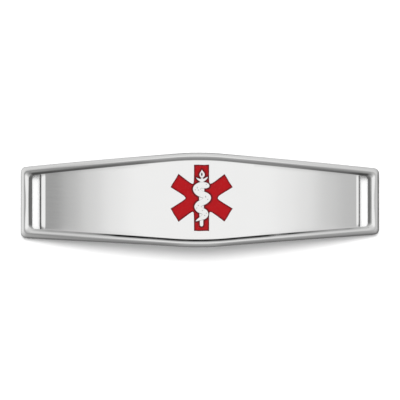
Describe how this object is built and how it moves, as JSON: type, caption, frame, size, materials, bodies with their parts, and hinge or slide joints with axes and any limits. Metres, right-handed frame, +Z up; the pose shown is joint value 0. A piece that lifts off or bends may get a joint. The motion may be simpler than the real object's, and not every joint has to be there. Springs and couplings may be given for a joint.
{
  "type": "medical alert bracelet plate",
  "caption": "Curved silver name plate of a medical alert bracelet, with a raised rim, end slots for a chain or strap and a red enamelled six-armed star.",
  "frame": {"origin": "middle of the plate's outline on the surface that its two ends rest on", "axes": "+X along the plate, towards the wearer's end to the right of the upright staff; +Y across it, towards the staff's bud; +Z up, out of the enamelled face"},
  "size_m": [0.046, 0.012, 0.0059],
  "materials": {
    "silver": "polished silver with fine polishing marks",
    "red_enamel": "glossy opaque red enamel"
  },
  "bodies": {
    "root": {"plate": "silver", "star_enamel": "red_enamel"}
  },
  "joints": []
}
